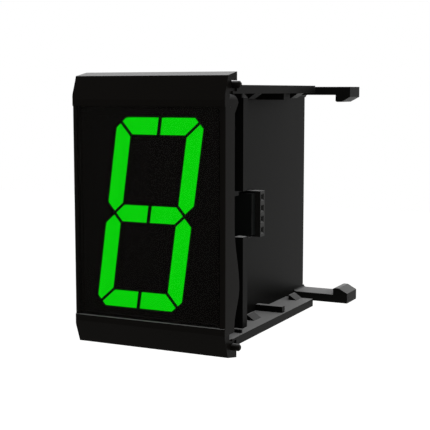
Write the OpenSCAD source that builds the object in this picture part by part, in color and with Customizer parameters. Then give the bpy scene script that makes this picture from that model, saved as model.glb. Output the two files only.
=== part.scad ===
// Sixteen-segment display unit for a panel, made to stand in a row with its neighbours.
// X runs to the right, Y to the rear and Z up. The origin is the centre of the window's front face.

/* [Front bezel] */
// Width of the bezel
bezel_w = 36.5; // [36:0.5:44]
// Height of the bezel over its top and bottom lips
bezel_h = 60; // [58.5:0.5:70]
// Height of each crown, from the window to the bezel's top or bottom
crown_h = 7.2; // [7:0.1:7.7]
// How far the crowns stand in front of the window
crown_proud = 0.25; // [0.1:0.05:0.6]
// Height of the flat band at the inner edge of each crown
crown_flat = 1.4; // [0.8:0.1:2.4]
// Height of each crown's slope, from the flat band to the shoulder
crown_rise = 5; // [4:0.1:5.4]
// How far the shoulder of each crown lies behind the window's front
shoulder_back = 1.65; // [0.8:0.05:2.2]
// Depth of the top and bottom lips, which is where the bezel meets the panel
lip_depth = 5.9; // [5.4:0.1:7]
// Thickness of the lips at their rear edge
lip_t = 1.85; // [1.6:0.05:1.9]
// Depth of the top and bottom bars, which the wings butt against
bar_depth = 5.2; // [5:0.1:5.4]
// Thickness of the front frame above and below the window
frame_t = 2.3; // [2:0.1:2.6]
// Width of the groove between each bar and its lip
lip_groove = 0.15; // [0.1:0.05:0.3]
// Thickness of the side walls
side_wall = 1.1; // [0.9:0.1:1.4]
// Depth of the side walls
side_depth = 5.1; // [4.8:0.1:5.4]
// Depth of the front band of the side walls, which stands out a little from the rest
side_band = 3.2; // [2.6:0.1:3.6]
// How far the rear part of each side wall is set in from the edge band
side_step = 0.12; // [0.05:0.01:0.2]
// Radius of the upright front edges
edge_r = 0.5; // [0.3:0.1:1]
// Depth of the ears at the top of the side walls
ear_depth = 6.8; // [5.8:0.1:7.2]
// Radius of the rounded top of each ear, which is also the ear's thickness
ear_r = 1.9; // [1.4:0.1:2]
// Height of the slope below each ear
ear_slope = 2.1; // [1:0.1:3]
// Depth of the side walls at the peak of their lower swell
swell_depth = 7.5; // [5.8:0.1:8]
// Top of the swell
swell_top = -2; // [-6:0.2:2]
// Peak of the swell
swell_peak = -15.4; // [-18:0.2:-12]
// Foot of the swell
swell_low = -23.2; // [-23.4:0.1:-21]
// Gap between the pegs and the pads at the ends of the bars, which stand out as far as the wings
pad_gap = 0.6; // [0.55:0.05:0.7]
// Thickness of the bezel round each peg hole, measured along the peg
hole_block = 2.4; // [2.2:0.1:3]

/* [Window] */
// Thickness of the window
window_t = 1; // [0.8:0.1:1.5]
// Gap round the edge of the window
window_gap = 0.1; // [0.05:0.05:0.2]
// Thickness of the adhesive between the window and its ledge
bond_t = 0.05; // [0.02:0.01:0.1]
// Width of the ledge that the window is bonded to
ledge_w = 0.5; // [0.4:0.05:0.6]
// Thickness of that ledge
ledge_t = 0.8; // [0.6:0.1:1.2]

/* [Digit] */
// Width of the digit, before it leans
digit_w = 20.7; // [18:0.1:22]
// Height of the window above and below the digit
digit_edge = 2.3; // [1.8:0.1:4.5]
// Lean of the digit to the right, in degrees
digit_lean = 8; // [0:1:10]
// Width of the outer and middle strokes
stroke = 3.65; // [2.8:0.05:4]
// Width of the two upright strokes at the centre
centre_stroke = 2.4; // [1.8:0.1:2.6]
// Width of the diagonal strokes, measured level
diagonal_w = 2.2; // [1.6:0.1:2.6]
// Gap between two strokes that meet at a slant
stroke_gap = 0.6; // [0.4:0.05:0.8]
// Gap between the two halves of a level stroke
half_gap = 0.8; // [0.5:0.05:1]
// Size of the cut across each outer corner of the digit
corner_cut = 2.2; // [1.2:0.1:2.4]
// Depth of the light guides
guide_t = 3.5; // [2:0.1:5]
// Gap between a light guide and the wall of its cavity
guide_gap = 0.05; // [0.02:0.01:0.1]

/* [Reflector and light board] */
// Depth of the reflector block
reflector_t = 7; // [6:0.1:7.4]
// Gap between the reflector block and the window's ledge
reflector_gap = 0.2; // [0.1:0.05:0.4]
// Thickness of the collar round the block, which keeps light from passing round it
collar_t = 1; // [0.6:0.1:1.4]
// Gap round the collar inside the bezel
collar_gap = 0.15; // [0.1:0.05:0.2]
// Width of the light board
led_board_w = 30; // [26:0.5:30.6]
// Thickness of the light board
led_board_t = 1.6; // [1:0.1:2]
// Length of a light-emitting chip
led_l = 1.6; // [1:0.1:2]
// Width of a light-emitting chip
led_w = 0.8; // [0.5:0.1:1]
// Height of a light-emitting chip
led_t = 0.7; // [0.4:0.1:1]

/* [Case] */
// Width of the case behind its flange
case_w = 22.6; // [21.6:0.2:24]
// How far the case's top and bottom lie inside the outer faces of the wings
case_inset = 0.25; // [0.15:0.05:0.8]
// Distance from the window's front to the rear of the case
case_rear = 63.1; // [61:0.1:70]
// Thickness of the case walls
case_wall = 1.5; // [1.2:0.1:2]
// Radius of the upright rear edges of the case
case_edge_r = 0.9; // [0.5:0.1:1.4]
// How far the sides of the case's flange lie inside the bezel's sides
flange_inset = 1.75; // [1.25:0.05:2.5]
// Distance from the window's front to the flange
flange_front = 12.9; // [12.3:0.1:13.5]
// Thickness of the flange
flange_t = 2.3; // [1.5:0.1:3]
// Size of the cut across the flange's top corners
flange_cut = 0.9; // [0.4:0.1:1.4]
// Lowest point of the notch in the flange's outer edges
notch_low = -5.4; // [-6.4:0.2:-4]
// Highest point of the notch in the flange's outer edges
notch_high = 4.6; // [3.6:0.2:6]
// Distance from the sockets' faces out to the notches' floors
notch_room = 0.4; // [0.2:0.1:1]
// Diameter of the four posts that carry the light board
led_post_d = 3.5; // [2.5:0.1:4]
// Distance from the light board's side edges to the posts
led_post_in = 2; // [1.8:0.1:3]
// Distance from the light board's top and bottom edges to the posts
led_post_down = 4.1; // [2:0.1:7]

/* [Wings] */
// How far the wings stand out beyond the bezel's sides
wing_proud = 0.3; // [0.1:0.05:0.5]
// How far the outer faces of the wings lie inside the bezel's top and bottom
wing_inset = 2.75; // [2.5:0.05:3]
// Thickness of each wing
wing_t = 1.8; // [1.6:0.1:2]
// Distance from the window's front to the rear of the wings
wing_rear = 50.6; // [50.6:0.2:54]
// Distance from the window's front to the stop ribs
stop_rib_y = 8.7; // [8.2:0.1:9.2]
// Thickness of the stop ribs
stop_rib_t = 0.6; // [0.4:0.1:0.8]
// Height of the stop ribs
stop_rib_h = 0.85; // [0.6:0.05:1]
// Distance from the window's front to the cross ribs
cross_rib_y = 31.7; // [30.8:0.1:36]
// Thickness of the cross ribs
cross_rib_t = 1.5; // [1:0.1:2.5]
// Height of the cross ribs
cross_rib_h = 1.45; // [1:0.05:1.6]
// Distance from the wings' side edges to the ribs' outer ends
rib_inset = 0.5; // [0.2:0.1:1.5]
// Distance from the window's front to the front barbs
front_barb_y = 21.2; // [16:0.2:27]
// Distance from the window's front to the rear barbs
rear_barb_y = 46.8; // [38:0.2:46.8]
// Length of each barb along the wing
barb_l = 3.8; // [2:0.1:3.8]
// Height of each barb
barb_h = 1.2; // [0.8:0.05:1.6]
// Distance across the unit between the barbs' catch faces
barb_inner_w = 27; // [25:0.2:28]
// Distance across the unit between the feet of the barbs' slopes
barb_outer_w = 31.2; // [30:0.2:34]
// Width of the level top of each barb
barb_flat = 0.3; // [0.1:0.1:0.8]

/* [Snap tongues] */
// Width of the bezel's snap tongues
tongue_w = 1.8; // [1.4:0.1:2]
// Thickness of the snap tongues
tongue_t = 1; // [0.8:0.05:1.1]
// Distance from the bezel's sides to the outer edges of the tongues
tongue_inset = 3.05; // [2.6:0.05:4.5]
// Length of the nose behind the stop rib
nose_l = 1; // [0.6:0.1:1.4]
// Clearance round the snap tongues
tongue_gap = 0.15; // [0.1:0.05:0.2]
// Clearance between the ears and the wings
ear_gap = 0.05; // [0.05:0.05:0.2]

/* [Joining hooks] */
// Depth of the arms along the unit
arm_l = 7.2; // [5:0.1:7.6]
// Thickness of the arms
arm_t = 2; // [1.6:0.1:2.2]
// Reach of the arms beyond the bezel's right side
arm_out = 7.4; // [7:0.05:7.45]
// Distance from the bezel's right side to the hooks' catch faces
hook_out = 3.65; // [3.55:0.05:4.15]
// Height of each hook below its arm
hook_h = 1.7; // [1.4:0.1:2]
// Length of the level tip of each hook
hook_tip_l = 1.5; // [0.8:0.1:1.6]
// Height left at the outer end of each hook's slope
hook_end_h = 0.5; // [0.1:0.1:0.8]
// Length of the cut across the inner corner of each hook's tip
hook_cut_l = 0.4; // [0.1:0.1:0.6]
// Height of that cut
hook_cut_h = 0.2; // [0.1:0.1:0.6]
// Clearance between a hook and its neighbour's catch
hook_gap = 0.12; // [0.1:0.02:0.2]
// Gap between the wings of two units that stand in a row
row_gap = 0.1; // [0.05:0.05:0.2]
// Thickness of the catch plates on the left
catch_t = 1.6; // [1.2:0.1:2]
// Radius of the fillet where an arm meets the case
arm_fillet = 0.6; // [0.4:0.1:1.5]
// Radius of the alignment pegs
peg_r = 0.76; // [0.6:0.02:0.8]
// Length of the alignment pegs
peg_l = 1.8; // [1:0.1:2]
// Size of the cut round the end of each peg
peg_cut = 0.3; // [0.1:0.05:0.4]
// How much deeper the peg holes are than the pegs are long
peg_room = 0.2; // [0.1:0.05:0.2]
// Distance from the bezel's top and bottom to the pegs
peg_down = 2.7; // [2.6:0.05:2.9]
// Distance from the window's front to the pegs
peg_y = 3.9; // [3.7:0.05:3.95]
// Radial clearance of a peg in its neighbour's hole
peg_gap = 0.06; // [0.04:0.01:0.1]

/* [Side sockets] */
// Number of ways in each side socket
ways = 4; // [3:1:5]
// Pitch of the ways
pitch = 2.54; // [2:0.02:2.54]
// Height of the sockets' centre
socket_z = -2.05; // [-2.4:0.05:-1.6]
// Length of a socket's body
socket_l = 8.5; // [7.5:0.1:9]
// Height of a socket's body above its top way's share and below its bottom way's
socket_rim = 0.2; // [0:0.05:0.3]
// Depth of a socket's body behind the driver board
socket_t = 2.4; // [2:0.1:2.6]
// Distance across the unit between the sockets' faces
socket_span = 28; // [27:0.2:28.2]
// Side of each square entry
entry = 1; // [0.9:0.05:1.2]
// Width of the bevel round each entry
entry_bevel = 0.3; // [0.1:0.05:0.35]
// Clearance of the sockets in the case
socket_gap = 0.2; // [0.1:0.05:0.3]
// Thickness of the contact leaves and tails
contact_t = 0.25; // [0.2:0.05:0.3]
// Distance from a socket's face to the contact leaves
contact_back = 2; // [1:0.1:3]
// Distance from a socket's root to its contact tails
tail_off = 1.3; // [1:0.1:1.6]
// Length of the contact tails in front of the driver board
tail_l = 1; // [0.6:0.1:1.4]

/* [Driver board] */
// Distance from the window's front to the driver board
driver_front = 26; // [25:0.1:27]
// Thickness of the driver board
driver_t = 2; // [1.6:0.1:2.2]
// Clearance between the driver board and the case walls
driver_gap = 0.25; // [0.15:0.05:0.4]
// Distance across the unit over the driver board's side tabs
tab_span = 25.4; // [24.4:0.1:26]
// Height of the side tabs
tab_h = 9.5; // [8:0.1:10]
// Side of the four columns that carry the driver board
column = 4; // [3.6:0.1:4.8]
// Distance between the columns up the unit
column_dz = 30; // [29:0.5:34]
// Diameter of the board screws' shanks
screw_d = 2.2; // [1.8:0.1:2.4]
// Diameter of the board screws' heads
screw_head_d = 3.6; // [3:0.1:3.8]
// Height of the board screws' heads
screw_head_h = 1.4; // [1:0.1:2]
// Length of the board screws' shanks
screw_l = 8; // [6:0.5:12]
// Radial clearance round the board screws
screw_gap = 0.05; // [0.03:0.01:0.1]
// Length of each slot of the screws' crossed drive
drive_l = 2.4; // [1.6:0.1:3]
// Width of the drive's slots
drive_w = 0.5; // [0.3:0.05:0.8]
// Depth of the drive's slots
drive_t = 0.7; // [0.4:0.1:1]
// Empty depth of the screw holes beyond the screws' ends
screw_room = 1; // [0.5:0.1:2]

/* [Link between the boards] */
// Pitch of the link pins, in rows across the unit above and below the digit
link_pitch = 2; // [1.8:0.1:2.2]
// Least distance from the ends of each row's strip to the case walls
link_room = 0.6; // [0.4:0.1:2]
// Distance from the light board's top and bottom edges to the rows
link_edge = 0.7; // [0.7:0.05:1.2]
// Side of a link pin
link_pin = 0.64; // [0.5:0.02:0.7]
// Thickness of the plastic strips that hold the link pins
link_strip_t = 2.5; // [1.5:0.1:2.6]
// Height of those strips
link_strip_h = 1.4; // [1:0.1:1.8]
// Length of the link pins behind the driver board
link_tail = 1; // [0.6:0.1:1.5]
// Radial clearance of pins in board holes
pin_gap = 0.06; // [0.03:0.01:0.15]

/* [Driver chips] */
// Distance between the centres of the two driver chips
chip_dz = 19.6; // [18.6:0.2:20]
// Length of a driver chip's body
chip_l = 9.9; // [9.3:0.1:10.4]
// Width of a driver chip's body
chip_w = 3.9; // [3:0.1:4.4]
// Height of a driver chip over its body
chip_h = 1.6; // [1.2:0.1:1.8]
// Width over a driver chip's leads
chip_span = 6.2; // [6:0.1:7]
// Leads along each side of a driver chip
chip_leads = 8; // [6:1:8]
// Pitch of a driver chip's leads
chip_pitch = 1.27; // [1:0.01:1.27]
// Side of the microcontroller's body
micro_side = 7; // [6.6:0.1:7.4]
// Height of the microcontroller over its body
micro_h = 1.4; // [1:0.1:1.6]
// Width over the microcontroller's leads
micro_span = 9; // [8.8:0.1:9.4]
// Leads along each side of the microcontroller
micro_leads = 10; // [8:1:10]
// Pitch of the microcontroller's leads
micro_pitch = 0.65; // [0.5:0.05:0.65]
// Distance from the crystal's centre down to the microcontroller's
micro_down = 6.7; // [6.6:0.1:8]
// Thickness of the chips' leads
lead_t = 0.2; // [0.15:0.05:0.25]
// Width of the chips' leads, as a share of their pitch
lead_share = 0.32; // [0.3:0.02:0.5]
// Length of the leads' feet
lead_foot = 0.7; // [0.5:0.05:0.8]
// Gap under the chips' bodies
lead_lift = 0.12; // [0.05:0.01:0.15]
// Radius of the round mark that shows each chip's first lead
mark_r = 0.4; // [0.2:0.05:0.6]
// Distance of that mark from the body's edges
mark_in = 1; // [0.8:0.05:1.2]

/* [Other parts on the driver board] */
// Length of the crystal's can
crystal_l = 8.8; // [7:0.1:10]
// Width of the crystal's can
crystal_w = 3.8; // [3:0.1:4]
// Height of the crystal's can
crystal_h = 3.4; // [2.5:0.1:4]
// Distance from the upper row of link pins down to the crystal's centre
crystal_down = 2.7; // [2.5:0.1:3]
// Radius of the smoothing capacitor's can
can_r = 4; // [3:0.1:4.5]
// Height of the smoothing capacitor's can
can_h = 11.9; // [8:0.1:14]
// Distance from the lower row of link pins up to the capacitor's centre line
can_up = 6.4; // [5.2:0.1:6.8]
// Size of the cut round the can's top
can_rim = 0.4; // [0.2:0.1:0.6]
// Height of the crimp round the can
crimp_h = 1.7; // [1.5:0.1:2]
// Depth of the crimp
crimp_t = 0.25; // [0.1:0.05:0.4]
// Width of the relief cuts in the can's top
relief_w = 0.3; // [0.2:0.05:0.5]
// Side of the choke coil's base
coil_base = 6; // [5:0.1:6.4]
// Thickness of the choke coil's base
coil_base_t = 0.9; // [0.6:0.1:1.2]
// Radius of the winding
coil_r = 2.1; // [1.6:0.1:2.4]
// Height of the winding
coil_h = 1.5; // [1:0.1:2]
// Radius of the core's top
core_r = 2.9; // [2.5:0.1:3]
// Thickness of the core's top
core_t = 0.8; // [0.5:0.1:1]
// Distance from the capacitor's centre line up to the choke coil's
coil_up = 9.5; // [8.5:0.1:10]
// Length of the resistors and ceramic capacitors
small_l = 2; // [1.6:0.1:2.2]
// Width of the resistors and ceramic capacitors
small_w = 1.25; // [0.8:0.05:1.4]
// Height of the resistors
resistor_t = 0.5; // [0.3:0.05:0.7]
// Resistors in each row
resistors_in_row = 4; // [2:1:6]
// Distance from the middle of the board to each row of resistors
resistor_z = 5; // [4:0.1:6]
// Height of the ceramic capacitors
ceramic_t = 1; // [0.6:0.1:1.4]
// Ceramic capacitors in each row
ceramics_in_row = 3; // [2:1:5]
// Distance from the microcontroller's centre down to the rear row of ceramic capacitors
ceramic_down = 6.5; // [6:0.1:7]
// Pitch of the resistors and ceramic capacitors
small_pitch = 2.1; // [1.8:0.1:2.2]

/* [Hidden] */
$fn = 64;
eps = 0.01;
far = 200;

LIT = ["a1", "a2", "b", "c", "d1", "d2", "e", "f", "g1", "g2"];
DARK = ["h", "i", "j", "k", "l", "m"];
BARS = concat(LIT, DARK);

// Front bezel, in halves about the origin
half_w = bezel_w / 2;
half_h = bezel_h / 2;
crown_z = half_h - crown_h;
window_h = 2 * crown_z;
shoulder_z = crown_z + crown_flat + crown_rise;
lip_in_z = half_h - lip_t;
bar_out_z = lip_in_z - lip_groove;
wall_in_x = half_w - side_wall;
wall_out_x = half_w - side_step;
ledge_x = wall_in_x - ledge_w;
ledge_z = crown_z - ledge_w;
ledge_front = window_t + bond_t;
ledge_back = ledge_front + ledge_t;

// Wings and the snap tongues that hook behind their stop ribs
wing_x = half_w + wing_proud;
wing_out_z = half_h - wing_inset;
wing_in_z = wing_out_z - wing_t;
tongue_out_z = wing_in_z - stop_rib_h - tongue_gap;
tongue_in_z = tongue_out_z - tongue_t;
tongue_x = half_w - tongue_inset;
nose_y = stop_rib_y + stop_rib_t + tongue_gap;
rib_x = wing_x - rib_inset;

// Ears and swells of the side walls
ear_top = wing_in_z - ear_gap;
ear_mid_z = ear_top - ear_r;
ear_in_x = wall_out_x - ear_r;
swell_steps = 8;

// Pads at the ends of the bars
pad_z = half_h - peg_down - peg_r - pad_gap;

// Reflector block and light board
reflector_w = 2 * (ledge_x - reflector_gap);
reflector_h = 2 * (ledge_z - reflector_gap);
reflector_back = ledge_front + reflector_t;
collar_front = frame_t + collar_gap;
collar_x = wall_in_x - collar_gap;
collar_z = crown_z - collar_gap;
led_board_back = reflector_back + led_board_t;
led_post_x = led_board_w / 2 - led_post_in;
led_post_z = reflector_h / 2 - led_post_down;

// Case
case_x = case_w / 2;
case_z = wing_out_z - case_inset;
case_in_x = case_x - case_wall;
case_in_z = case_z - case_wall;
case_in_back = case_rear - case_wall;
flange_x = half_w - flange_inset;
flange_back = flange_front + flange_t;
arm_front = case_rear - arm_l;
arm_in_z = case_z - arm_t;
arm_reach = half_w + arm_out;
hook_catch_x = half_w + hook_out;
catch_z = arm_in_z - hook_h - hook_gap;
row_pitch = 2 * wing_x + row_gap;
catch_x = row_pitch - hook_catch_x + hook_gap;
catch_gap_z = arm_in_z - hook_gap;
catch_end = half_w - tongue_gap;
relief_x = row_pitch - arm_reach - hook_gap;

// Driver board and side sockets
driver_back = driver_front + driver_t;
driver_x = case_in_x - driver_gap;
driver_z = case_in_z - driver_gap;
screw_x = case_in_x - column / 2;
screw_z = column_dz / 2;
socket_face = socket_span / 2;
notch_x = socket_face + notch_room;
socket_root = socket_face - socket_l;
socket_h = ways * pitch + 2 * socket_rim;
way_z = [for (way = [0:ways - 1]) socket_z + (way - (ways - 1) / 2) * pitch];
entry_y = driver_back + socket_t / 2;
tail_x = socket_root - tail_off;
tail_end = driver_front - tail_l;
tail_hole_d = contact_t * sqrt(2) + 2 * pin_gap;

// Link pins, soldered in both boards, as many as fit across the case
link_z = reflector_h / 2 - link_edge;
link_ways = floor(2 * (case_in_x - link_room) / link_pitch);
link_x = [for (way = [0:link_ways - 1]) (way - (link_ways - 1) / 2) * link_pitch];
link_hole_d = link_pin * sqrt(2) + 2 * pin_gap;

// Parts on the rear of the driver board
crystal_z = link_z - crystal_down;
micro_z = crystal_z - micro_down;
ceramic_z = micro_z - ceramic_down;
can_z = can_up - link_z;
coil_z = can_z + coil_up;

// Digit, in level and upright coordinates [u, v] before it leans
digit_h = window_h - 2 * digit_edge;
bar_u = (digit_w - stroke) / 2;
bar_v = (digit_h - stroke) / 2;
centre_u = centre_stroke / 2;

// Each bar's form, and whether it is turned over to the right and downwards.
BAR_FORMS = [
    ["a1", "level", 1, 1], ["a2", "level", -1, 1], ["d1", "level", 1, -1], ["d2", "level", -1, -1],
    ["f", "upright", 1, 1], ["b", "upright", -1, 1], ["e", "upright", 1, -1], ["c", "upright", -1, -1],
    ["g1", "middle", 1, 1], ["g2", "middle", -1, 1], ["i", "centre", 1, 1], ["l", "centre", 1, -1],
    ["h", "diagonal", 1, 1], ["j", "diagonal", -1, 1], ["k", "diagonal", 1, -1], ["m", "diagonal", -1, -1]];

function form_of(bar) = BAR_FORMS[search([bar], BAR_FORMS)[0]];

// Outline of the upper left bar of each form. Its edges stand in by inset from the cavity's.
function form_points(form, inset) =
    let (half = stroke / 2 - inset,
         mitre = (stroke_gap / 2 + inset) * sqrt(2),
         square_end = half_gap / 2 + inset,
         clear = stroke / 2 + stroke_gap + inset,
         corner = (digit_w + digit_h) / 2 - corner_cut - inset * sqrt(2),
         over = bar_v - bar_u + mitre,
         under = bar_v - bar_u - mitre)
    form == "level" ?
        [[bar_v + half - corner, bar_v + half], [-square_end, bar_v + half],
         [-square_end, bar_v - half], [over - bar_v + half, bar_v - half],
         [(over - corner) / 2, (over + corner) / 2]] :
    form == "upright" ?
        [[-bar_u - half, corner - bar_u - half], [(under - corner) / 2, (under + corner) / 2],
         [-bar_u + half, under + bar_u - half], [-bar_u + half, half + mitre],
         [-bar_u, mitre], [-bar_u - half, half + mitre]] :
    form == "middle" ?
        [[-bar_u + mitre, 0], [-bar_u + half + mitre, half], [-square_end, half],
         [-square_end, -half], [-bar_u + half + mitre, -half]] :
    form == "centre" ?
        [[-centre_u + inset, clear], [centre_u - inset, clear],
         [centre_u - inset, bar_v - clear], [-centre_u + inset, bar_v - clear]] :
    let (left = -bar_u + clear,
         right = -centre_u - stroke_gap - inset,
         wide = diagonal_w / 2 - inset,
         tall = wide * (bar_v - 2 * clear) / (right - left))
    [[left, bar_v - clear], [left + wide, bar_v - clear], [right, clear + tall],
     [right, clear], [right - wide, clear], [left, bar_v - clear - tall]];

function lean(points) = [for (p = points) [p[0] + p[1] * tan(digit_lean), p[1]]];
function turned(points, u, v) = [for (p = points) [p[0] * u, p[1] * v]];
function bar_points(bar, inset) =
    let (form = form_of(bar))
    lean(turned(form_points(form[1], inset), form[2], form[3]));

// Places of the two chips behind each bar, as shares of its length and width
function chip_points(form) =
    form == "level" ? [[-0.68 * bar_u, bar_v], [-0.27 * bar_u, bar_v]] :
    form == "upright" ? [[-bar_u, 0.3 * bar_v], [-bar_u, 0.7 * bar_v]] :
    form == "middle" ? [[-0.68 * bar_u, 0], [-0.27 * bar_u, 0]] :
    form == "centre" ? [[0, 0.3 * bar_v], [0, 0.7 * bar_v]] :
    let (wide = bar_u - stroke / 2 - centre_u - 2 * stroke_gap,
         tall = bar_v - stroke - 2 * stroke_gap,
         mid_u = -centre_u - stroke_gap - wide / 2,
         step_v = 0.2 * bar_v,
         step_u = step_v * wide / tall)
    [[mid_u - step_u, bar_v / 2 + step_v], [mid_u + step_u, bar_v / 2 - step_v]];

// A box between two opposite corners
module between(low, high) { translate(low) cube(high - low); }

// A flat outline in X and Z, given depth from front to back
module along_y(front, back) {
    translate([0, back, 0]) rotate([90, 0, 0]) linear_extrude(back - front) children();
}

// A flat outline in Y and Z, given width from left to right
module along_x(left, right) {
    translate([left, 0, 0]) rotate([90, 0, 90]) linear_extrude(right - left) children();
}

// A round bar along X, Y or Z
module rod_x(left, right, r) {
    translate([left, 0, 0]) rotate([0, 90, 0]) cylinder(h = right - left, r = r);
}

module rod_y(front, back, r) {
    translate([0, front, 0]) rotate([-90, 0, 0]) cylinder(h = back - front, r = r);
}

// The same shape on both sides, above and below
module left_right() { children(); mirror([1, 0, 0]) children(); }
module up_down() { children(); mirror([0, 0, 1]) children(); }

// What a square edge loses when it is rounded to radius r. The edge runs along Z at the origin.
module edge_loss(r, length) {
    translate([0, 0, -length / 2]) linear_extrude(length) difference() {
        translate([-r, -eps]) square([r + eps, r + eps]);
        translate([-r, r]) circle(r);
    }
}

// Section of the bezel's top bar: crown, lip, groove and bar
module bar_section() {
    polygon([
        [-crown_proud, crown_z], [-crown_proud, crown_z + crown_flat], [shoulder_back, shoulder_z],
        [lip_depth, half_h], [lip_depth, lip_in_z], [side_band, lip_in_z], [side_band, bar_out_z],
        [bar_depth, bar_out_z], [bar_depth, wing_in_z], [frame_t, wing_in_z],
        [frame_t, ledge_z], [ledge_front, ledge_z], [ledge_front, crown_z]]);
}

// Outline of the rear part of a side wall, with its swell
module side_outline() {
    translate([window_t, -tongue_out_z]) square([side_depth - window_t, tongue_out_z + ear_mid_z]);
    swell = swell_depth - side_depth;
    polygon(concat(
        [[window_t, swell_low], [window_t, swell_top]],
        [for (i = [0:swell_steps]) let (t = i / swell_steps)
            [side_depth + swell * (1 - cos(180 * t)) / 2, swell_top + t * (swell_peak - swell_top)]],
        [for (i = [1:swell_steps]) let (t = i / swell_steps)
            [side_depth + swell * (1 + cos(180 * t)) / 2, swell_peak + t * (swell_low - swell_peak)]]));
}

// One side wall, on the right
module side_wall_right() {
    between([wall_in_x, 0, -crown_z - eps], [half_w, side_band, crown_z + eps]);
    between([ledge_x, ledge_front, -ledge_z - eps], [half_w, ledge_back, ledge_z + eps]);
    along_x(wall_in_x, wall_out_x) side_outline();
    intersection() {
        along_y(window_t, ear_depth) ear_outline();
        along_x(ear_in_x, wall_out_x) polygon([
            [window_t, ear_mid_z - ear_slope], [side_depth, ear_mid_z - ear_slope],
            [ear_depth, ear_mid_z], [ear_depth, ear_top], [window_t, ear_top]]);
    }
}

// Outline of the ear seen from the front. It is as thin as the wall beside the reflector block.
module ear_outline() {
    translate([wall_in_x, ear_mid_z - ear_slope]) square([wall_out_x - wall_in_x, ear_slope]);
    translate([ear_in_x, crown_z]) square([ear_r, ear_mid_z - crown_z]);
    intersection() {
        translate([ear_in_x, ear_mid_z]) circle(ear_r);
        translate([ear_in_x, ear_mid_z - eps]) square([ear_r, ear_r + eps]);
    }
}

module snap_tongue() {
    between([tongue_x - tongue_w, window_t, tongue_in_z], [tongue_x, nose_y + nose_l, tongue_out_z]);
    between([tongue_x - tongue_w, nose_y, tongue_in_z],
            [tongue_x, nose_y + nose_l, wing_in_z - tongue_gap]);
}

module peg() {
    shank_end = half_w + peg_l - peg_cut;
    translate([0, peg_y, half_h - peg_down]) {
        rod_x(half_w - eps, shank_end, peg_r);
        translate([shank_end, 0, 0]) rotate([0, 90, 0])
            cylinder(h = peg_cut, r1 = peg_r, r2 = peg_r - peg_cut);
    }
}

module front_bezel() {
    color("#101010") difference() {
        union() {
            up_down() along_x(-half_w, half_w) bar_section();
            left_right() side_wall_right();
            left_right() up_down() snap_tongue();
            up_down() peg();
            left_right() up_down() between([half_w - eps, side_band, wing_in_z],
                                           [wing_x, bar_depth, pad_z]);
            // The groove is closed round each peg hole.
            up_down() between([-half_w, side_band - eps, bar_out_z - eps],
                              [-half_w + hole_block, bar_depth, lip_in_z + eps]);
        }
        left_right() translate([half_w, 0, 0]) edge_loss(edge_r, window_h);
        left_right() up_down() translate([half_w, -crown_proud, crown_z + half_h / 2])
            edge_loss(edge_r, half_h);
        up_down() translate([0, peg_y, half_h - peg_down])
            rod_x(-half_w - eps, -half_w + peg_l + peg_room, peg_r + peg_gap);
    }
}

module display_window() {
    x = wall_in_x - window_gap;
    z = crown_z - window_gap;
    color("#0c0f0c", 0.6) between([-x, 0, -z], [x, window_t, z]);
}

module segment_bar(bar) {
    lit = is_num(search([bar], LIT)[0]);
    color(lit ? "#00d800" : "#1c2a1c") along_y(ledge_front, ledge_front + guide_t)
        polygon(bar_points(bar, guide_gap));
}

module reflector_block() {
    color("#141414") difference() {
        union() {
            between([-reflector_w / 2, ledge_front, -reflector_h / 2],
                    [reflector_w / 2, reflector_back, reflector_h / 2]);
            between([-collar_x, collar_front, -collar_z], [collar_x, collar_front + collar_t, collar_z]);
        }
        for (bar = BARS) along_y(ledge_front - eps, reflector_back + eps) polygon(bar_points(bar, 0));
    }
}

module link_holes(front, back) {
    up_down() for (x = link_x) translate([x, 0, link_z]) rod_y(front - eps, back + eps, link_hole_d / 2);
}

module led_board() {
    color("#161616") difference() {
        between([-led_board_w / 2, reflector_back, -reflector_h / 2],
                [led_board_w / 2, led_board_back, reflector_h / 2]);
        link_holes(reflector_back, led_board_back);
    }
}

module led_chips() {
    color("#e8e4c8") for (bar = BARS) {
        form = form_of(bar);
        level = form[1] == "level" || form[1] == "middle";
        size = level ? [led_l, led_t, led_w] : [led_w, led_t, led_l];
        for (p = lean(turned(chip_points(form[1]), form[2], form[3])))
            translate([p[0], reflector_back - led_t / 2, p[1]]) cube(size, center = true);
    }
}

// A square pin or its hole, at each place in both rows of the link
module link_row_pins(front, back) {
    side = link_pin / 2;
    up_down() for (x = link_x) between([x - side, front, link_z - side], [x + side, back, link_z + side]);
}

module link_strips(front, back) {
    reach = link_ways * link_pitch / 2;
    half = link_strip_h / 2;
    difference() {
        up_down() between([-reach, front, link_z - half], [reach, back, link_z + half]);
        link_row_pins(front - eps, back + eps);
    }
}

module front_link_strips() { color("#0e0e0e") link_strips(led_board_back, led_board_back + link_strip_t); }
module rear_link_strips() { color("#0e0e0e") link_strips(driver_front - link_strip_t, driver_front); }
module link_pins() { color("#c9a24a") link_row_pins(reflector_back + pin_gap, driver_back + link_tail); }

// Everything that stands on the rear face of the driver board is drawn on a floor at Z = 0.
module on_rear(x, z) { translate([x, driver_back, z]) rotate([-90, 0, 0]) children(); }
module on_front(x, z) { translate([x, driver_front, z]) rotate([90, 0, 0]) children(); }

// Gull-wing leads along both long sides of a chip's body, which runs along X
module gull_leads(count, lead_pitch, body_w, span, height) {
    lead_w = lead_share * lead_pitch;
    knee = span / 2 - lead_foot;
    for (turn = [0, 180]) rotate([0, 0, turn]) for (i = [0:count - 1])
        translate([(i - (count - 1) / 2) * lead_pitch - lead_w / 2, 0, 0]) {
            translate([0, body_w / 2, height]) cube([lead_w, knee + lead_t - body_w / 2, lead_t]);
            translate([0, knee, 0]) cube([lead_w, lead_t, height + lead_t]);
            translate([0, knee, 0]) cube([lead_w, lead_foot, lead_t]);
        }
}

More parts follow.
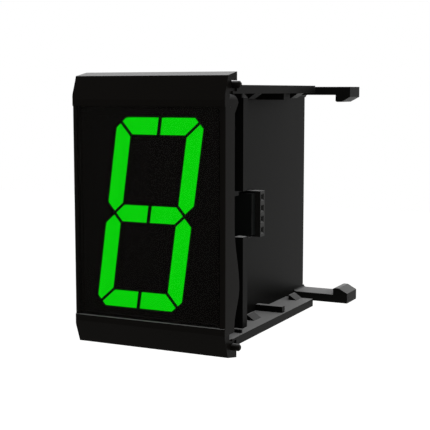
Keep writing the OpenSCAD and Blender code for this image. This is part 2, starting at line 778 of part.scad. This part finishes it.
// A chip's moulded body, standing a little off the board, with the mark beside its first lead
module chip_body(l, w, h) {
    mark_depth = lead_t;
    difference() {
        translate([-l / 2, -w / 2, lead_lift]) cube([l, w, h - lead_lift]);
        translate([mark_in - l / 2, mark_in - w / 2, h - mark_depth])
            cylinder(h = mark_depth + eps, r = mark_r);
    }
}

module driver_board() {
    color("#161616") difference() {
        union() {
            between([-driver_x, driver_front, -driver_z], [driver_x, driver_back, driver_z]);
            between([-tab_span / 2, driver_front, socket_z - tab_h / 2],
                    [tab_span / 2, driver_back, socket_z + tab_h / 2]);
        }
        link_holes(driver_front, driver_back);
        left_right() up_down() translate([screw_x, 0, screw_z])
            rod_y(driver_front - eps, driver_back + eps, screw_d / 2 + screw_gap);
        left_right() for (z = way_z) translate([tail_x, 0, z])
            rod_y(driver_front - eps, driver_back + eps, tail_hole_d / 2);
    }
}

module segment_drivers() {
    color("#151515") for (z = [-chip_dz / 2, chip_dz / 2]) on_front(0, z) {
        chip_body(chip_l, chip_w, chip_h);
        gull_leads(chip_leads, chip_pitch, chip_w, chip_span, chip_h / 2);
    }
}

module microcontroller() {
    color("#151515") on_rear(0, micro_z) {
        chip_body(micro_side, micro_side, micro_h);
        for (turn = [0, 90]) rotate([0, 0, turn])
            gull_leads(micro_leads, micro_pitch, micro_side, micro_span, micro_h / 2);
    }
}

module crystal() {
    end_x = (crystal_l - crystal_w) / 2;
    color("#b9bcc0") on_rear(0, crystal_z) {
        for (x = [-end_x, end_x]) translate([x, 0, 0]) cylinder(h = crystal_h, r = crystal_w / 2);
        translate([-end_x, -crystal_w / 2, 0]) cube([2 * end_x, crystal_w, crystal_h]);
    }
}

module smoothing_capacitor() {
    color("#23304a") on_rear(0, can_z) difference() {
        rotate_extrude() polygon([
            [0, 0], [can_r - crimp_t, 0], [can_r, crimp_t], [can_r, crimp_h - crimp_t],
            [can_r - crimp_t, crimp_h], [can_r, crimp_h + crimp_t], [can_r, can_h - can_rim],
            [can_r - can_rim, can_h], [0, can_h]]);
        for (turn = [0, 90]) rotate([0, 0, turn])
            translate([-can_r / 2, -relief_w / 2, can_h - relief_w])
                cube([can_r, relief_w, relief_w + eps]);
    }
}

module choke_coil() {
    color("#4b4b4d") on_rear(0, coil_z) {
        translate([-coil_base / 2, -coil_base / 2, 0]) cube([coil_base, coil_base, coil_base_t]);
        translate([0, 0, coil_base_t]) cylinder(h = coil_h, r = coil_r);
        translate([0, 0, coil_base_t + coil_h]) cylinder(h = core_t, r = core_r);
    }
}

// A row of small pieces soldered flat on the board
module small_row(count, height) {
    for (i = [0:count - 1])
        translate([(i - (count - 1) / 2) * small_pitch - small_w / 2, -small_l / 2, 0])
            cube([small_w, small_l, height]);
}

module resistors() {
    color("#1a1a1c") for (z = [-resistor_z, resistor_z])
        on_front(0, z) small_row(resistors_in_row, resistor_t);
}

module ceramic_capacitors() {
    color("#b99a6b") {
        on_rear(0, ceramic_z) small_row(ceramics_in_row, ceramic_t);
        on_front(0, 0) small_row(ceramics_in_row, ceramic_t);
    }
}

// The bevel of an entry's mouth, in one direction
module mouth_outline() {
    half = entry / 2;
    mouth = half + entry_bevel;
    polygon([[socket_face - entry_bevel, -half], [socket_face - entry_bevel, half],
             [socket_face + eps, mouth + eps], [socket_face + eps, -mouth - eps]]);
}

// A square entry with a bevelled mouth, for one pin
module pin_entry(z) {
    half = entry / 2;
    between([socket_root - eps, entry_y - half, z - half], [socket_face + eps, entry_y + half, z + half]);
    translate([0, entry_y, z]) intersection() {
        linear_extrude(pitch, center = true) mouth_outline();
        rotate([90, 0, 0]) linear_extrude(pitch, center = true) mouth_outline();
    }
}

module side_socket() {
    color("#161616") difference() {
        between([socket_root, driver_back, socket_z - socket_h / 2],
                [socket_face, driver_back + socket_t, socket_z + socket_h / 2]);
        for (z = way_z) pin_entry(z);
    }
}

// Contact leaves inside the socket, each with a tail bent down into the driver board
module side_contacts() {
    front = entry_y - entry / 2;
    color("#c9a24a") for (z = way_z) {
        between([tail_x - contact_t / 2, front, z - contact_t],
                [socket_face - contact_back, front + contact_t, z + contact_t]);
        between([tail_x - contact_t / 2, tail_end, z - contact_t / 2],
                [tail_x + contact_t / 2, front + contact_t, z + contact_t / 2]);
    }
}

module right_socket() { side_socket(); }
module left_socket() { mirror([1, 0, 0]) side_socket(); }
module right_contacts() { side_contacts(); }
module left_contacts() { mirror([1, 0, 0]) side_contacts(); }

module board_screws() {
    color("#8f9296") left_right() up_down() translate([screw_x, 0, screw_z]) difference() {
        union() {
            rod_y(driver_front - screw_head_h, driver_front, screw_head_d / 2);
            rod_y(driver_front - eps, driver_front + screw_l, screw_d / 2);
        }
        for (turn = [0, 90]) rotate([0, turn, 0])
            translate([-drive_l / 2, driver_front - screw_head_h - eps, -drive_w / 2])
                cube([drive_l, drive_t + eps, drive_w]);
    }
}

// The case's box with rounded upright rear edges, and the flange across its front
module case_box() {
    difference() {
        between([-case_x, flange_front, -case_z], [case_x, case_rear, case_z]);
        left_right() translate([case_x, case_rear, 0]) mirror([0, 1, 0])
            edge_loss(case_edge_r, 2 * (case_z + eps));
    }
    difference() {
        between([-flange_x, flange_front, -wing_in_z - eps], [flange_x, flange_back, wing_in_z + eps]);
        left_right() translate([flange_x, 0, wing_in_z - flange_cut]) rotate([0, -45, 0])
            translate([0, flange_front - 1, 0]) cube([far, flange_t + 2, far]);
    }
}

// A wing with its stop rib, cross rib and snap barbs on the inner face
module wing() {
    barb_in = barb_inner_w / 2;
    barb_out = barb_outer_w / 2;
    between([-wing_x, bar_depth, wing_in_z], [wing_x, wing_rear, wing_out_z]);
    left_right() {
        between([case_x - eps, stop_rib_y, wing_in_z - stop_rib_h],
                [rib_x, stop_rib_y + stop_rib_t, wing_in_z + eps]);
        between([case_x - eps, cross_rib_y, wing_in_z - cross_rib_h],
                [rib_x, cross_rib_y + cross_rib_t, wing_in_z + eps]);
        for (y = [front_barb_y, rear_barb_y]) along_y(y, y + barb_l) polygon([
            [barb_in, wing_in_z + eps], [barb_in, wing_in_z - barb_h],
            [barb_in + barb_flat, wing_in_z - barb_h],
            [barb_out, wing_in_z], [barb_out, wing_in_z + eps]]);
    }
}

// An arm with its hook, which reaches over the catch of the unit on the right
module hooked_arm() {
    tip_z = arm_in_z - hook_h;
    tip_end = hook_catch_x + hook_tip_l;
    between([case_in_x, arm_front, arm_in_z], [arm_reach, case_rear, case_z]);
    along_y(arm_front, case_rear) {
        polygon([[hook_catch_x, arm_in_z + eps], [hook_catch_x, tip_z + hook_cut_h],
                 [hook_catch_x + hook_cut_l, tip_z], [tip_end, tip_z],
                 [arm_reach, arm_in_z - hook_end_h], [arm_reach, arm_in_z + eps]]);
        difference() {
            translate([case_x - eps, arm_in_z - arm_fillet]) square(arm_fillet + eps);
            translate([case_x + arm_fillet, arm_in_z - arm_fillet]) circle(arm_fillet);
        }
    }
}

// The catch on the left, which the hook of the unit on that side grips
module hook_catch() {
    between([-catch_end, arm_front, catch_z - catch_t], [-case_in_x, case_rear, catch_z]);
    between([-catch_end, arm_front, catch_z - eps], [-catch_x, case_rear, catch_gap_z]);
}

module rear_case() {
    socket_half = socket_h / 2 + socket_gap;
    color("#1b1b1b") difference() {
        union() {
            difference() {
                union() {
                    case_box();
                    up_down() wing();
                    up_down() hooked_arm();
                    up_down() hook_catch();
                }
                between([-case_in_x, flange_front - eps, -case_in_z], [case_in_x, case_in_back, case_in_z]);
            }
            left_right() up_down() between(
                [case_in_x - column, driver_back, screw_z - column / 2],
                [case_in_x + eps, case_in_back + eps, screw_z + column / 2]);
            left_right() up_down() translate([led_post_x, 0, led_post_z])
                rod_y(led_board_back, flange_front + eps, led_post_d / 2);
        }
        // Slots that the sockets slide along as the driver board goes in
        left_right() between(
            [case_in_x - eps, flange_front - eps, socket_z - socket_half],
            [notch_x, driver_back + socket_t + socket_gap, socket_z + socket_half]);
        left_right() between([notch_x - eps, flange_front - eps, notch_low],
                             [flange_x + eps, flange_back + eps, notch_high]);
        left_right() up_down() translate([screw_x, 0, screw_z])
            rod_y(driver_back - eps, driver_front + screw_l + screw_room, screw_d / 2 + screw_gap);
        // Room for the ends of the arms of the unit on the left, where they would meet a wider case
        if (relief_x < case_x) up_down() between([-case_x - eps, arm_front - hook_gap, catch_z],
                                                 [-relief_x, case_rear + eps, case_z + eps]);
    }
}

front_bezel();
display_window();
reflector_block();
led_board();
led_chips();
link_pins();
front_link_strips();
rear_link_strips();
driver_board();
segment_drivers();
microcontroller();
crystal();
smoothing_capacitor();
choke_coil();
resistors();
ceramic_capacitors();
right_socket();
left_socket();
right_contacts();
left_contacts();
board_screws();
rear_case();
for (bar = BARS) segment_bar(bar);
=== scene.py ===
"""Looks of a sixteen-segment display unit: materials for its parts, plain studio light and a camera."""

import bpy
import numpy as np
from mathutils import Matrix, Vector


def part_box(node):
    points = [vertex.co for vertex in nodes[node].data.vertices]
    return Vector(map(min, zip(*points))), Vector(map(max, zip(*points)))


MM = 0.001
X, Y, Z = range(3)

# A silver sheen painted on the tops of the plastic parts, a painted highlight where light falls on
# them: its weight where the surface looks straight up, its roughness, and the upward part of the normal
# at which it and the painted lighter grey start.
PAINTED_SHEEN_WEIGHT = 0.9
PAINTED_SHEEN_ROUGHNESS = 0.5
PAINTED_TOP_START = 0.37

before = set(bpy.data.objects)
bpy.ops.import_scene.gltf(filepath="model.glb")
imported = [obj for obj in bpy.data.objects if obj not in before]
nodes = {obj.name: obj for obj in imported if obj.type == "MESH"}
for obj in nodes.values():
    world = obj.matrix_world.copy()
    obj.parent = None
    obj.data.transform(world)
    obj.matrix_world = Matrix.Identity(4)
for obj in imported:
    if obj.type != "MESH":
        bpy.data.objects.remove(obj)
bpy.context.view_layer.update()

LIT = [f"segment_{bar}" for bar in ("a1", "a2", "b", "c", "d1", "d2", "e", "f", "g1", "g2")]
UNLIT = [f"segment_{bar}" for bar in "hijklm"]


# ---------------------------------------------------------------- colours and nodes

def linear(code):
    """An sRGB hex colour as linear RGBA: v / 12.92 up to 0.04045, else ((v + 0.055) / 1.055) ** 2.4."""
    v = np.array([int(code[i:i + 2], 16) for i in (1, 3, 5)]) / 255
    rgb = np.where(v <= 0.04045, v / 12.92, ((v + 0.055) / 1.055) ** 2.4)
    return (*rgb.tolist(), 1.0)


def add(tree, kind, inputs=None, **settings):
    """Adds one node with its settings. Each input is set to a value, or linked if it is a socket."""
    node = tree.nodes.new(kind)
    for key, value in settings.items():
        setattr(node, key, value)
    for key, value in (inputs or {}).items():
        if isinstance(value, bpy.types.NodeSocket):
            tree.links.new(value, node.inputs[key])
        else:
            node.inputs[key].default_value = value
    return node


def start_material(name):
    """A material with an empty node tree, and its Object coordinates, which are in metres."""
    material = bpy.data.materials.new(name)
    material.use_nodes = True
    tree = material.node_tree
    tree.nodes.clear()
    return material, tree, add(tree, "ShaderNodeTexCoord").outputs["Object"]


def finish_material(tree, shader):
    add(tree, "ShaderNodeOutputMaterial", {"Surface": shader.outputs[0]})


def noise(tree, place, size, detail=2.0):
    """Noise from 0 to 1 whose blotches are about size metres across."""
    inputs = {"Vector": place, "Scale": 1 / size, "Detail": detail}
    return add(tree, "ShaderNodeTexNoise", inputs).outputs["Fac"]


def between(tree, factor, low, high):
    """A number that goes from low to high as factor goes from 0 to 1."""
    inputs = {"Value": factor, "To Min": low, "To Max": high}
    return add(tree, "ShaderNodeMapRange", inputs).outputs["Result"]


def blend_colours(tree, factor, first, second):
    """A colour that goes from first to second as factor goes from 0 to 1."""
    inputs = {"Factor": factor, "A": first, "B": second}
    return add(tree, "ShaderNodeMix", inputs, data_type="RGBA").outputs["Result"]


def bumped(tree, height, depth, strength=1.0):
    """The surface's normal, tilted by a height that is depth metres from low to high."""
    inputs = {"Height": height, "Strength": strength, "Distance": depth}
    return add(tree, "ShaderNodeBump", inputs).outputs["Normal"]


def past(tree, place, axis, middles, reach):
    """1 where the distance along an axis from every one of the middles is more than reach, else 0."""
    part = add(tree, "ShaderNodeSeparateXYZ", {"Vector": place}).outputs[axis]
    clear = None
    for middle in middles:
        away = add(tree, "ShaderNodeMath", {0: part, 1: middle}, operation="SUBTRACT").outputs[0]
        away = add(tree, "ShaderNodeMath", {0: away}, operation="ABSOLUTE").outputs[0]
        far = add(tree, "ShaderNodeMath", {0: away, 1: reach}, operation="GREATER_THAN").outputs[0]
        clear = far if clear is None else add(
            tree, "ShaderNodeMath", {0: clear, 1: far}, operation="MINIMUM").outputs[0]
    return clear


def sine(tree, distance, length):
    """A wave from -1 to 1 along a distance, repeated every length metres."""
    turn = add(tree, "ShaderNodeMath", {0: distance, 1: 2 * np.pi / length}, operation="MULTIPLY")
    return add(tree, "ShaderNodeMath", {0: turn.outputs[0]}, operation="SINE").outputs[0]


def from_wave(tree, wave):
    """A wave from -1 to 1 as a number from 0 to 1."""
    return add(tree, "ShaderNodeMapRange", {"Value": wave, "From Min": -1.0}).outputs["Result"]


# The mask of the painted top light: the lighter grey and the sheen painted on the plastics' upward
# faces.
def upward(tree):
    """0 where the surface looks sideways or down, and 1 where it looks straight up. It rises from where
    the upward part of its normal is PAINTED_TOP_START."""
    normal = add(tree, "ShaderNodeTexCoord").outputs["Normal"]
    up = add(tree, "ShaderNodeSeparateXYZ", {"Vector": normal}).outputs["Z"]
    return add(tree, "ShaderNodeMapRange", {"Value": up, "From Min": PAINTED_TOP_START}).outputs["Result"]


def dress(material, *names):
    """Gives the material to every slot of the named parts."""
    for name in names:
        for slot in nodes[name].material_slots:
            slot.material = material


# ---------------------------------------------------------------- materials

def spark_textured_abs(name, dark, light):
    """Black ABS, injection moulded in a finely spark-eroded tool. The eye sees a satin black with a
    faint warm tone: dark from the front and grey where it is seen at a glancing angle. On its upward
    faces a lighter
    grey and a silver sheen are painted on: a painted highlight from the light above."""
    material, tree, place = start_material(name)
    # Flow marks drift over about 12 mm. The tool's grain is 0.03 mm, drawn at 0.25 mm so that it shows.
    flow = noise(tree, place, 12 * MM)
    grain = noise(tree, place, 0.25 * MM, 3.0)
    plastic = blend_colours(tree, flow, linear(dark), linear(light))
    # Painted highlight: a lighter grey on the upward faces, and the sheen set below, stand in for the
    # light from above.
    painted_top_light = linear("#1c1c1b")
    top = upward(tree)
    finish_material(tree, add(tree, "ShaderNodeBsdfPrincipled", {
        "Base Color": blend_colours(tree, top, plastic, painted_top_light),
        "Roughness": between(tree, grain, 0.33, 0.43),
        "Sheen Weight": between(tree, top, 0.0, PAINTED_SHEEN_WEIGHT), "Sheen Roughness": PAINTED_SHEEN_ROUGHNESS,
        "Normal": bumped(tree, grain, 0.006 * MM, 0.6),
        "IOR": 1.54, "Specular IOR Level": 0.017}))
    return material


def smoked_acrylic(name):
    """Clear cast acrylic with a black dye, polished flat. The eye sees a black pane that lit strokes
    show through without a halo, with only a weak reflection because of its anti-glare coat."""
    material, tree, place = start_material(name)
    # The coat's ripple is about 4 mm long.
    ripple = noise(tree, place, 4 * MM)
    finish_material(tree, add(tree, "ShaderNodeBsdfPrincipled", {
        "Base Color": linear("#0f0d0b"), "Alpha": 0.6, "IOR": 1.49, "Specular IOR Level": 0.04,
        "Roughness": between(tree, ripple, 0.3, 0.36)}))
    return material


def diffusing_polycarbonate(name, base, glow):
    """Translucent polycarbonate light guide, moulded with a diffuser in it. Where a chip lights it, the
    eye sees an even stroke of colour from edge to edge, and otherwise a dull dark green-grey."""
    material, tree, place = start_material(name)
    # The diffuser's cloud varies over about 3 mm.
    cloud = noise(tree, place, 3 * MM)
    inputs = {
        "Base Color": linear(base), "Roughness": between(tree, cloud, 0.5, 0.6),
        "IOR": 1.58, "Specular IOR Level": 0.03}
    if glow:
        inputs["Emission Color"] = linear(glow)
        inputs["Emission Strength"] = between(tree, cloud, 6.1, 6.4)
    finish_material(tree, add(tree, "ShaderNodeBsdfPrincipled", inputs))
    return material


def carbon_filled_polycarbonate(name):
    """Black polycarbonate of the reflector block, moulded and left matt so that its cavities don't
    shine. The eye sees a flat soot black."""
    material, tree, place = start_material(name)
    # The matt texture is 0.1 mm, drawn at 0.3 mm so that it shows.
    grain = noise(tree, place, 0.3 * MM, 3.0)
    finish_material(tree, add(tree, "ShaderNodeBsdfPrincipled", {
        "Base Color": blend_colours(tree, grain, linear("#0b0b0b"), linear("#0f0f0f")),
        "Roughness": between(tree, grain, 0.62, 0.74), "Normal": bumped(tree, grain, 0.01 * MM),
        "IOR": 1.58, "Specular IOR Level": 0.03}))
    return material


def solder_masked_laminate(name):
    """Glass-cloth epoxy board under a matt black solder mask. The eye sees a near-black sheet in which
    the cloth's weave stands out faintly."""
    material, tree, place = start_material(name)
    # The cloth has 17 threads in 10 mm, so a wave of warp or weft is 0.6 mm long.
    part = add(tree, "ShaderNodeSeparateXYZ", {"Vector": place}).outputs
    threads = {0: sine(tree, part["X"], 0.6 * MM), 1: sine(tree, part["Z"], 0.6 * MM)}
    crossed = add(tree, "ShaderNodeMath", threads, operation="MULTIPLY").outputs[0]
    weave = from_wave(tree, crossed)
    finish_material(tree, add(tree, "ShaderNodeBsdfPrincipled", {
        "Base Color": blend_colours(tree, weave, linear("#0e100f"), linear("#151716")),
        "Roughness": between(tree, weave, 0.42, 0.5), "Normal": bumped(tree, weave, 0.01 * MM),
        "IOR": 1.52, "Specular IOR Level": 0.1}))
    return material


def fired_alumina(name):
    """Ivory ceramic and clear resin of the light-emitting chips. The eye sees small pale blocks."""
    material, tree, place = start_material(name)
    # The fired grain is 0.01 mm, drawn at 0.15 mm so that it shows.
    grain = noise(tree, place, 0.15 * MM)
    finish_material(tree, add(tree, "ShaderNodeBsdfPrincipled", {
        "Base Color": blend_colours(tree, grain, linear("#ddd6b2"), linear("#ece6c6")),
        "Roughness": between(tree, grain, 0.4, 0.55), "IOR": 1.6}))
    return material


def gold_plated_bronze(name):
    """Phosphor bronze, drawn square and plated with gold. The eye sees a warm yellow metal with fine
    lines along its length."""
    material, tree, place = start_material(name)
    # The drawing lines are 0.02 mm apart, drawn 0.1 mm apart so that they show.
    stretch = add(tree, "ShaderNodeMapping", {"Vector": place, "Scale": (1.0, 0.08, 1.0)})
    lines = noise(tree, stretch.outputs["Vector"], 0.1 * MM)
    finish_material(tree, add(tree, "ShaderNodeBsdfPrincipled", {
        "Base Color": blend_colours(tree, lines, linear("#d6a94e"), linear("#e8c169")),
        "Metallic": 1.0, "Roughness": between(tree, lines, 0.2, 0.32)}))
    return material


def glass_filled_nylon(name):
    """Black nylon with short glass fibres, moulded. The eye sees a dull black that is a little uneven,
    where the fibres lie near the surface, and silvery on top, where a sheen is painted on as a
    highlight from the light above."""
    material, tree, place = start_material(name)
    # The fibres are 0.3 mm long.
    fibres = noise(tree, place, 0.3 * MM, 4.0)
    # The sheen on the upward faces is a painted highlight from the light above.
    top = upward(tree)
    finish_material(tree, add(tree, "ShaderNodeBsdfPrincipled", {
        "Base Color": blend_colours(tree, fibres, linear("#161615"), linear("#20201e")),
        "Roughness": between(tree, fibres, 0.4, 0.52), "Normal": bumped(tree, fibres, 0.008 * MM, 0.6),
        "Sheen Weight": between(tree, top, 0.0, PAINTED_SHEEN_WEIGHT), "Sheen Roughness": PAINTED_SHEEN_ROUGHNESS,
        "IOR": 1.53, "Specular IOR Level": 0.1}))
    return material


def tinned_lead_package(name, middles, reach_x, reach_z):
    """Transfer-moulded epoxy chip body with stamped, tin-plated leads. The eye sees a matt charcoal
    block, and bright soft grey metal outside the block's sides."""
    material, tree, place = start_material(name)
    # The silica filler in the epoxy is 0.05 mm, drawn at 0.15 mm so that it shows.
    filler = noise(tree, place, 0.15 * MM, 3.0)
    ends = {0: past(tree, place, "X", (0.0,), reach_x), 1: past(tree, place, "Z", middles, reach_z)}
    lead = add(tree, "ShaderNodeMath", ends, operation="MAXIMUM").outputs[0]
    body = blend_colours(tree, filler, linear("#171717"), linear("#232323"))
    rough = between(tree, filler, 0.5, 0.65)
    finish_material(tree, add(tree, "ShaderNodeBsdfPrincipled", {
        "Base Color": blend_colours(tree, lead, body, linear("#b7b8b6")), "Metallic": lead,
        "Roughness": between(tree, lead, rough, 0.3), "IOR": 1.55}))
    return material


def rolled_nickel_silver(name):
    """Nickel-silver can, drawn from rolled sheet. The eye sees a satin pale metal with fine lines
    across it."""
    material, tree, place = start_material(name)
    # The rolling lines are 0.02 mm apart, drawn 0.12 mm apart so that they show.
    stretch = add(tree, "ShaderNodeMapping", {"Vector": place, "Scale": (0.06, 1.0, 1.0)})
    lines = noise(tree, stretch.outputs["Vector"], 0.12 * MM)
    finish_material(tree, add(tree, "ShaderNodeBsdfPrincipled", {
        "Base Color": blend_colours(tree, lines, linear("#b4b3ae"), linear("#c9c8c2")),
        "Metallic": 1.0, "Roughness": between(tree, lines, 0.26, 0.38)}))
    return material


def sleeved_aluminium_can(name, top):
    """Drawn aluminium can in a shrunk dark blue sleeve that leaves its top bare. The eye sees a glossy
    blue side and a bright satin top."""
    material, tree, place = start_material(name)
    # The sleeve's ripple is about 2 mm long.
    ripple = noise(tree, place, 2 * MM)
    bare = past(tree, place, "Y", (0.0,), top)
    sleeve = blend_colours(tree, ripple, linear("#141d33"), linear("#1b2742"))
    finish_material(tree, add(tree, "ShaderNodeBsdfPrincipled", {
        "Base Color": blend_colours(tree, bare, sleeve, linear("#c8c9ca")), "Metallic": bare,
        "Roughness": between(tree, ripple, 0.24, 0.34), "IOR": 1.54}))
    return material


def wound_ferrite(name, low, high):
    """Sintered ferrite base and top with enamelled copper wire wound between them. The eye sees a dull
    dark grey spool with a band of fine orange-brown turns."""
    material, tree, place = start_material(name)
    # The wire is 0.2 mm thick, so a turn's crown comes every 0.2 mm along the spool.
    grain = noise(tree, place, 0.2 * MM, 3.0)
    outside = past(tree, place, "Y", ((low + high) / 2,), (high - low) / 2)
    along = add(tree, "ShaderNodeSeparateXYZ", {"Vector": place}).outputs["Y"]
    crown = from_wave(tree, sine(tree, along, 0.2 * MM))
    copper = blend_colours(tree, crown, linear("#5c2a12"), linear("#a85f2c"))
    ferrite = blend_colours(tree, grain, linear("#303032"), linear("#414143"))
    finish_material(tree, add(tree, "ShaderNodeBsdfPrincipled", {
        "Base Color": blend_colours(tree, outside, copper, ferrite),
        "Roughness": between(tree, outside, 0.3, 0.7), "IOR": 1.6}))
    return material


def tin_ended_chip(name, body, middles, reach):
    """Fired ceramic chip with plated tin ends, soldered flat. The eye sees a coloured block between two
    bright caps."""
    material, tree, place = start_material(name)
    # The fired glaze is mottled at 0.4 mm.
    mottle = noise(tree, place, 0.4 * MM)
    end = past(tree, place, "Z", middles, reach)
    glaze = blend_colours(tree, mottle, linear(body[0]), linear(body[1]))
    finish_material(tree, add(tree, "ShaderNodeBsdfPrincipled", {
        "Base Color": blend_colours(tree, end, glaze, linear("#bfc0be")), "Metallic": end,
        "Roughness": between(tree, mottle, 0.3, 0.42), "IOR": 1.55}))
    return material


def zinc_plated_steel(name):
    """Cold-headed steel screw, plated with clear zinc. The eye sees a cool silver grey, a little
    cloudy."""
    material, tree, place = start_material(name)
    # The plating's clouds are about 1 mm across.
    cloud = noise(tree, place, 1 * MM, 4.0)
    finish_material(tree, add(tree, "ShaderNodeBsdfPrincipled", {
        "Base Color": blend_colours(tree, cloud, linear("#a3a7ab"), linear("#bcc0c4")),
        "Metallic": 1.0, "Roughness": between(tree, cloud, 0.26, 0.4)}))
    return material


# ---------------------------------------------------------------- dressing the parts

def middle(name, axis):
    """The middle of a part along an axis."""
    low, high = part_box(name)
    return (low[axis] + high[axis]) / 2


def size(name, axis):
    """The size of a part along an axis."""
    low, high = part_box(name)
    return high[axis] - low[axis]


dress(spark_textured_abs("textured_abs_bezel", "#0d0c0a", "#100e0c"), "front_bezel")
dress(spark_textured_abs("textured_abs_case", "#0f0f0e", "#131312"), "rear_case")
dress(smoked_acrylic("smoked_acrylic"), "display_window")
dress(diffusing_polycarbonate("lit_light_guide", "#06280a", "#00cb02"), *LIT)
dress(diffusing_polycarbonate("unlit_light_guide", "#0c0e0c", None), *UNLIT)
dress(carbon_filled_polycarbonate("black_polycarbonate"), "reflector_block")
dress(solder_masked_laminate("black_masked_laminate"), "led_board", "driver_board")
dress(fired_alumina("ivory_chip"), "led_chips")
dress(gold_plated_bronze("gold_plated_bronze"), "link_pins", "right_contacts", "left_contacts")
dress(glass_filled_nylon("glass_filled_nylon"), "front_link_strips", "rear_link_strips",
      "right_socket", "left_socket")

# A driver chip is 6.2 mm wide over its leads, which reach out 1.15 mm on both long sides. Its short
# sides have none, so its reach along X is out of the way. The microcontroller's reach out 1 mm all
# round. Both are taken 0.01 mm short, so that the side of the body itself isn't lead.
driver_half = 3.1 * MM
driver_leads = 1.14 * MM
micro_leads = 0.99 * MM
no_leads = 1.0
upper_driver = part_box("segment_drivers")[1][Z] - driver_half
dress(tinned_lead_package("epoxy_driver_chip", (upper_driver, -upper_driver), no_leads,
                          driver_half - driver_leads), "segment_drivers")
micro_body = size("microcontroller", Z) / 2 - micro_leads
dress(tinned_lead_package("epoxy_microcontroller", (middle("microcontroller", Z),), micro_body,
                          micro_body), "microcontroller")
dress(rolled_nickel_silver("rolled_nickel_silver"), "crystal")

# The can's sleeve stops 0.42 mm short of its top, and the coil's winding starts 0.9 mm from the board
# and stops 0.8 mm short of its top.
can_rim = 0.42 * MM
coil_base = 0.9 * MM
coil_top = 0.8 * MM
dress(sleeved_aluminium_can("sleeved_aluminium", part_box("smoothing_capacitor")[1][Y] - can_rim),
      "smoothing_capacitor")
coil_front, coil_rear = (corner[Y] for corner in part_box("choke_coil"))
dress(wound_ferrite("wound_ferrite", coil_front + coil_base, coil_rear - coil_top), "choke_coil")

# Both kinds of small chip are 2 mm long, and their tin ends take up 0.35 mm each.
chip_half = 1 * MM
glaze_half = 0.65 * MM
resistor_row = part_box("resistors")[1][Z] - chip_half
ceramic_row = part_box("ceramic_capacitors")[1][Z] - chip_half
dress(tin_ended_chip("glazed_resistor", ("#151516", "#1f1f21"), (resistor_row, -resistor_row),
                     glaze_half), "resistors")
dress(tin_ended_chip("tan_ceramic_capacitor", ("#a98a5c", "#bf9f70"), (ceramic_row, 0.0), glaze_half),
      "ceramic_capacitors")
dress(zinc_plated_steel("zinc_plated_steel"), "board_screws")


# ---------------------------------------------------------------- light, floor and camera

def soft_box(name, place, target, width, power):
    """A square lamp at place, turned to face target."""
    data = bpy.data.lights.new(name, "AREA")
    data.size = width
    data.energy = power
    lamp = bpy.data.objects.new(name, data)
    place = Vector(place)
    turn = (Vector(target) - place).to_track_quat("-Z", "Y")
    lamp.matrix_world = Matrix.Translation(place) @ turn.to_matrix().to_4x4()
    bpy.context.scene.collection.objects.link(lamp)


def seen_rays(tree):
    """1 on the rays that see a surface, mirror it or pass through to it, and 0 on those that only carry
    light."""
    path = add(tree, "ShaderNodeLightPath").outputs
    seen = path["Is Camera Ray"]
    for other in ("Is Glossy Ray", "Is Transmission Ray"):
        seen = add(tree, "ShaderNodeMath", {0: seen, 1: path[other]}, operation="MAXIMUM").outputs[0]
    return seen


def white_studio():
    """A white room all round: full white where it is seen or mirrored, and half as bright where it
    only lights the matt surfaces."""
    world = bpy.data.worlds.new("white_studio")
    world.use_nodes = True
    tree = world.node_tree
    tree.nodes.clear()
    strength = between(tree, seen_rays(tree), 0.5, 1.0)
    sky = add(tree, "ShaderNodeBackground", {"Color": linear("#ffffff"), "Strength": strength})
    add(tree, "ShaderNodeOutputWorld", {"Surface": sky.outputs[0]})
    bpy.context.scene.world = world


def pale_floor(height):
    """A wide level floor of matt white card, well below the unit. It takes the unit's shadow, and looks
    full white around it."""
    material, tree, place = start_material("white_card")
    # The card's fibres cloud it over about 5 mm.
    cloud = noise(tree, place, 5 * MM)
    card = add(tree, "ShaderNodeBsdfDiffuse", {
        "Color": blend_colours(tree, cloud, linear("#f2f2f1"), linear("#f6f6f5"))})
    # A faint glow makes up for the half-bright sky, only where the card is seen or mirrored.
    glow = add(tree, "ShaderNodeEmission", {"Strength": between(tree, seen_rays(tree), 0.0, 0.6)})
    finish_material(tree, add(tree, "ShaderNodeAddShader", {0: card.outputs[0], 1: glow.outputs[0]}))
    reach = 3.0
    mesh = bpy.data.meshes.new("pale_floor")
    corners = [(-reach, -reach), (reach, -reach), (reach, reach), (-reach, reach)]
    mesh.from_pydata([(x, y, height) for x, y in corners], [], [(0, 1, 2, 3)])
    mesh.materials.append(material)
    floor = bpy.data.objects.new("pale_floor", mesh)
    bpy.context.scene.collection.objects.link(floor)


def aim_camera():
    """A camera 222 mm from the window's centre, to its right and a little above. It looks 26 degrees to
    the left and 6.8 degrees down."""
    data = bpy.data.cameras.new("camera")
    data.lens = 87.91
    data.sensor_width = 36
    camera = bpy.data.objects.new("camera", data)
    yaw, pitch = 0.453372, 0.117956
    back = Vector((np.sin(yaw) * np.cos(pitch), -np.cos(yaw) * np.cos(pitch), np.sin(pitch)))
    turn = back.to_track_quat("Z", "Y")
    place = Vector((109.328 * MM, -191.408 * MM, 26.082 * MM))
    camera.matrix_world = Matrix.Translation(place) @ turn.to_matrix().to_4x4()
    bpy.context.scene.collection.objects.link(camera)
    bpy.context.scene.camera = camera


white_studio()
soft_box("top_box", place=(0.05, 0.1, 0.5), target=(0, 0.03, 0), width=0.4, power=2.0)
pale_floor(height=-0.35)
aim_camera()
bpy.context.scene.view_settings.view_transform = "Standard"
